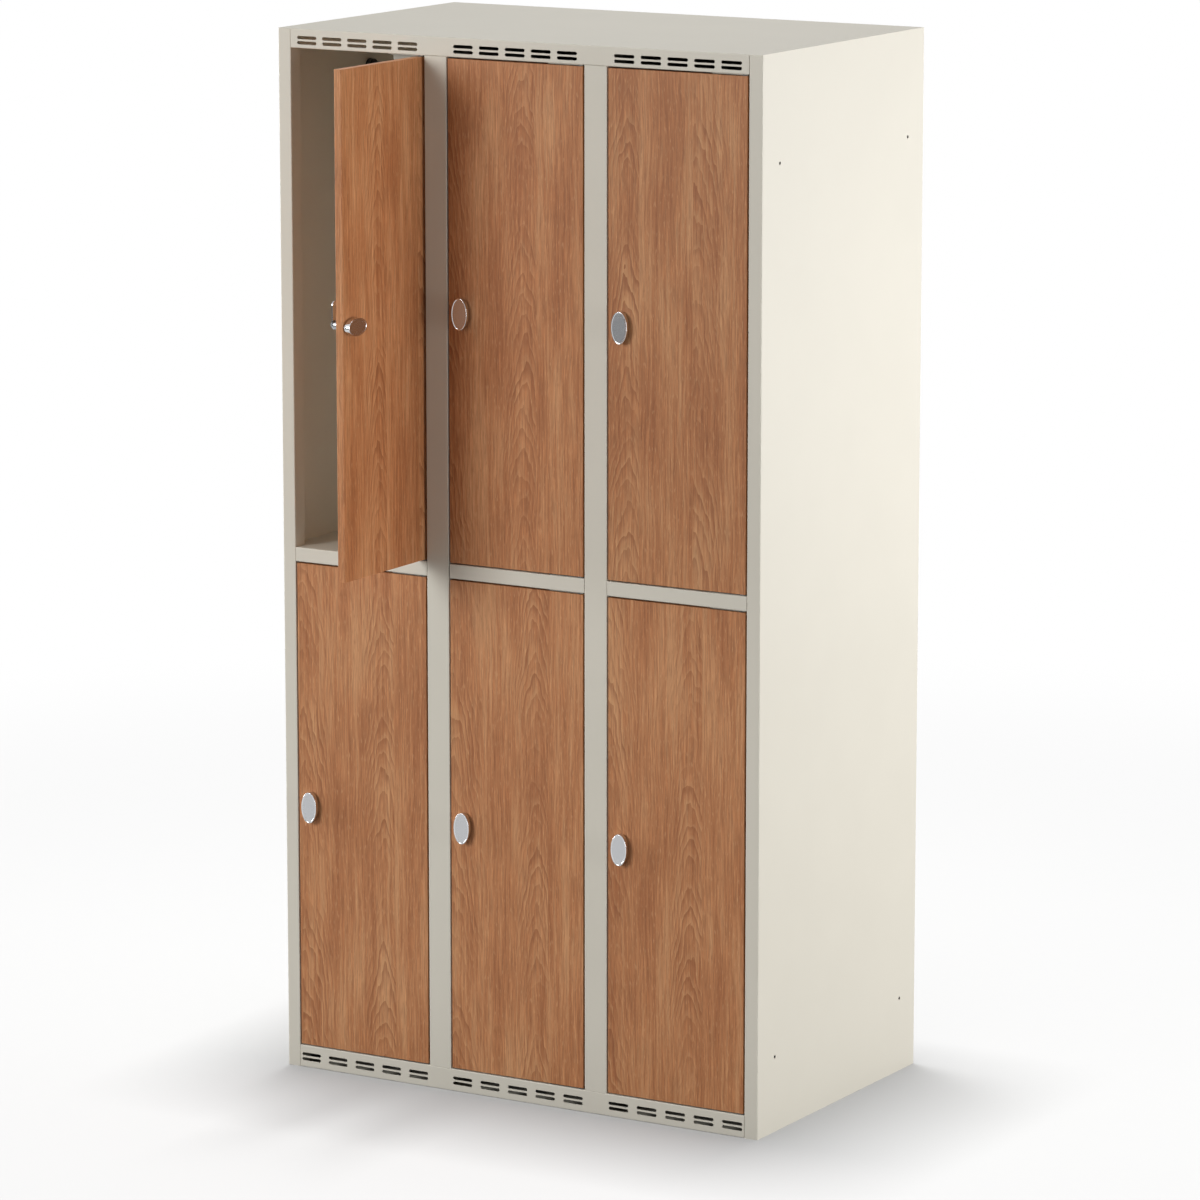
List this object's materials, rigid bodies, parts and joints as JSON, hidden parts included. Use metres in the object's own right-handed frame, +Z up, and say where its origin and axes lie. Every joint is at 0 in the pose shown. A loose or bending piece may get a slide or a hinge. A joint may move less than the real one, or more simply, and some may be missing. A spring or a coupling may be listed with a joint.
{
  "type": "double tier locker",
  "caption": "Double tier steel locker with flush woodgrain doors on pivot pins, vent slots in its rails and oval turn knobs that work cam locks.",
  "frame": {"origin": "on the floor under the middle of the carcass, on the underside of the bottom panel", "axes": "+Z up, the doors face -Y, +X to the right seen from the front"},
  "size_m": [0.9, 0.777, 1.74],
  "materials": {
    "cabinet_paint": "satin powder coat",
    "zinc_plate": "bright zinc plate",
    "bush_nylon": "natural nylon",
    "rail_black": "black enamel",
    "cup_plastic": "black moulded",
    "pin_steel": "turned",
    "lock_zinc": "plated die casting",
    "knob_chrome": "polished chrome plate",
    "cam_chrome": "polished chrome plate",
    "nut_steel": "zinc plated",
    "laminate_lower_left": "satin woodgrain laminate",
    "laminate_lower_middle": "satin woodgrain laminate",
    "laminate_lower_right": "satin woodgrain laminate",
    "laminate_upper_left": "satin woodgrain laminate",
    "laminate_upper_middle": "satin woodgrain laminate",
    "laminate_upper_right": "satin woodgrain laminate"
  },
  "bodies": {
    "carcass": {"left_side_panel": "cabinet_paint", "right_side_panel": "cabinet_paint", "top_panel": "cabinet_paint", "bottom_panel": "cabinet_paint", "back_panel": "cabinet_paint", "upright_left_middle": "cabinet_paint", "upright_middle_right": "cabinet_paint", "partition_left_middle": "cabinet_paint", "partition_middle_right": "cabinet_paint", "tier_shelf_left": "cabinet_paint", "tier_shelf_middle": "cabinet_paint", "tier_shelf_right": "cabinet_paint", "pivot_brackets": "zinc_plate", "pivot_bushes": "bush_nylon", "coat_rails": "rail_black", "rail_cups": "cup_plastic"},
    "door_lower_left": {"door_lower_left": "laminate_lower_left", "hinge_pins_lower_left": "pin_steel", "lock_body_lower_left": "lock_zinc"},
    "lock_lower_left": {"lock_knob_lower_left": "knob_chrome", "lock_cam_lower_left": "cam_chrome", "cam_nut_lower_left": "nut_steel"},
    "door_lower_middle": {"door_lower_middle": "laminate_lower_middle", "hinge_pins_lower_middle": "pin_steel", "lock_body_lower_middle": "lock_zinc"},
    "lock_lower_middle": {"lock_knob_lower_middle": "knob_chrome", "lock_cam_lower_middle": "cam_chrome", "cam_nut_lower_middle": "nut_steel"},
    "door_lower_right": {"door_lower_right": "laminate_lower_right", "hinge_pins_lower_right": "pin_steel", "lock_body_lower_right": "lock_zinc"},
    "lock_lower_right": {"lock_knob_lower_right": "knob_chrome", "lock_cam_lower_right": "cam_chrome", "cam_nut_lower_right": "nut_steel"},
    "door_upper_left": {"door_upper_left": "laminate_upper_left", "hinge_pins_upper_left": "pin_steel", "lock_body_upper_left": "lock_zinc"},
    "lock_upper_left": {"lock_knob_upper_left": "knob_chrome", "lock_cam_upper_left": "cam_chrome", "cam_nut_upper_left": "nut_steel"},
    "door_upper_middle": {"door_upper_middle": "laminate_upper_middle", "hinge_pins_upper_middle": "pin_steel", "lock_body_upper_middle": "lock_zinc"},
    "lock_upper_middle": {"lock_knob_upper_middle": "knob_chrome", "lock_cam_upper_middle": "cam_chrome", "cam_nut_upper_middle": "nut_steel"},
    "door_upper_right": {"door_upper_right": "laminate_upper_right", "hinge_pins_upper_right": "pin_steel", "lock_body_upper_right": "lock_zinc"},
    "lock_upper_right": {"lock_knob_upper_right": "knob_chrome", "lock_cam_upper_right": "cam_chrome", "cam_nut_upper_right": "nut_steel"}
  },
  "joints": [
    {"name": "hinge_lower_left", "type": "hinge", "parent": "carcass", "child": "door_lower_left", "pos_m": [-0.1805, -0.264, 0.44925], "axis": [0, 0, 1], "range_deg": [0, 110]},
    {"name": "knob_turn_lower_left", "type": "hinge", "parent": "door_lower_left", "child": "lock_lower_left", "pos_m": [-0.3975, -0.264, 0.44925], "axis": [0, -1, 0], "range_deg": [0, 180]},
    {"name": "hinge_lower_middle", "type": "hinge", "parent": "carcass", "child": "door_lower_middle", "pos_m": [0.1175, -0.264, 0.44925], "axis": [0, 0, 1], "range_deg": [0, 110]},
    {"name": "knob_turn_lower_middle", "type": "hinge", "parent": "door_lower_middle", "child": "lock_lower_middle", "pos_m": [-0.0995, -0.264, 0.44925], "axis": [0, -1, 0], "range_deg": [0, 180]},
    {"name": "hinge_lower_right", "type": "hinge", "parent": "carcass", "child": "door_lower_right", "pos_m": [0.4155, -0.264, 0.44925], "axis": [0, 0, 1], "range_deg": [0, 110]},
    {"name": "knob_turn_lower_right", "type": "hinge", "parent": "door_lower_right", "child": "lock_lower_right", "pos_m": [0.1985, -0.264, 0.44925], "axis": [0, -1, 0], "range_deg": [0, 180]},
    {"name": "hinge_upper_left", "type": "hinge", "parent": "carcass", "child": "door_upper_left", "pos_m": [-0.1805, -0.264, 1.29675], "axis": [0, 0, 1], "range_deg": [-90, 20]},
    {"name": "knob_turn_upper_left", "type": "hinge", "parent": "door_upper_left", "child": "lock_upper_left", "pos_m": [-0.1805, -0.481, 1.29675], "axis": [1, 0, 0], "range_deg": [-90, 90]},
    {"name": "hinge_upper_middle", "type": "hinge", "parent": "carcass", "child": "door_upper_middle", "pos_m": [0.1175, -0.264, 1.29675], "axis": [0, 0, 1], "range_deg": [0, 110]},
    {"name": "knob_turn_upper_middle", "type": "hinge", "parent": "door_upper_middle", "child": "lock_upper_middle", "pos_m": [-0.0995, -0.264, 1.29675], "axis": [0, -1, 0], "range_deg": [0, 180]},
    {"name": "hinge_upper_right", "type": "hinge", "parent": "carcass", "child": "door_upper_right", "pos_m": [0.4155, -0.264, 1.29675], "axis": [0, 0, 1], "range_deg": [0, 110]},
    {"name": "knob_turn_upper_right", "type": "hinge", "parent": "door_upper_right", "child": "lock_upper_right", "pos_m": [0.1985, -0.264, 1.29675], "axis": [0, -1, 0], "range_deg": [0, 180]}
  ]
}
